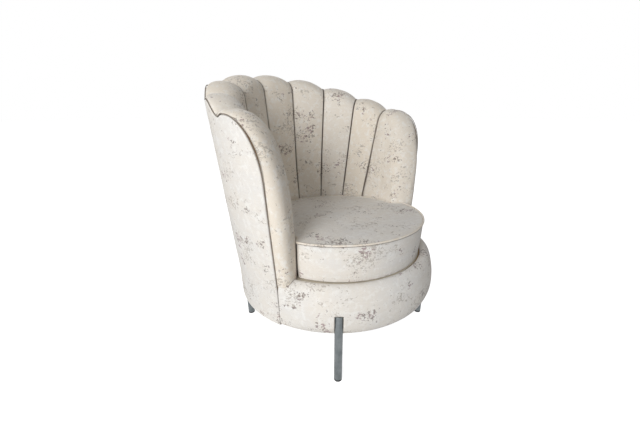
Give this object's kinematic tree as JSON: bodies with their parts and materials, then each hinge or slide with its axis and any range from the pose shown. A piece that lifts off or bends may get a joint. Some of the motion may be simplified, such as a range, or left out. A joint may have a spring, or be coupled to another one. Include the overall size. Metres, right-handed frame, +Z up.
{
  "type": "scallop back chair",
  "caption": "Upholstered tub armchair with a flared channelled back, scalloped sloping rim, round loose seat cushion and straight steel tube legs.",
  "frame": {"origin": "middle of the overall box in X and Y, on the floor under the glides", "axes": "+Z up, the open front faces -Y, +X is to the right when seen from the front looking at the back"},
  "size_m": [0.779, 0.7534, 0.897],
  "materials": {
    "cover_fabric": "matt ivory woven velvet with small taupe and brown flecks",
    "leg_steel": "satin grey steel",
    "glide_plastic": "matt near black",
    "plywood": "raw plywood, hidden",
    "beech": "raw beech, hidden",
    "zinc": "zinc plated, hidden",
    "webbing": "woven elastic webbing, hidden",
    "lining": "plain calico, hidden",
    "dust_cloth": "dark non-woven cloth under the drum"
  },
  "bodies": {
    "chair": {"leg_rear_right": "leg_steel", "glide_rear_right": "glide_plastic", "block_rear_right": "beech", "bolt_rear_right": "zinc", "leg_front_right": "leg_steel", "glide_front_right": "glide_plastic", "block_front_right": "beech", "bolt_front_right": "zinc", "leg_front_left": "leg_steel", "glide_front_left": "glide_plastic", "block_front_left": "beech", "bolt_front_left": "zinc", "leg_rear_left": "leg_steel", "glide_rear_left": "glide_plastic", "block_rear_left": "beech", "bolt_rear_left": "zinc", "base_hoop": "plywood", "base_ring_lower": "plywood", "base_ring_upper": "plywood", "back_board": "plywood", "strap_cross_1": "webbing", "strap_long_1": "webbing", "strap_cross_2": "webbing", "strap_long_2": "webbing", "strap_cross_3": "webbing", "strap_long_3": "webbing", "deck_lining": "lining", "dust_cover": "dust_cloth", "base_border": "cover_fabric", "outer_panel": "cover_fabric", "back_welt": "cover_fabric", "channel_1": "cover_fabric", "channel_2": "cover_fabric", "channel_3": "cover_fabric", "channel_4": "cover_fabric", "channel_5": "cover_fabric", "channel_6": "cover_fabric", "channel_7": "cover_fabric", "channel_8": "cover_fabric", "channel_9": "cover_fabric"},
    "cushion": {"seat_cushion": "cover_fabric", "seat_piping": "cover_fabric"}
  },
  "joints": [
    {"name": "cushion_lift", "type": "slide", "parent": "chair", "child": "cushion", "axis": [0, 0, 1], "range_m": [0, 0.6]}
  ]
}
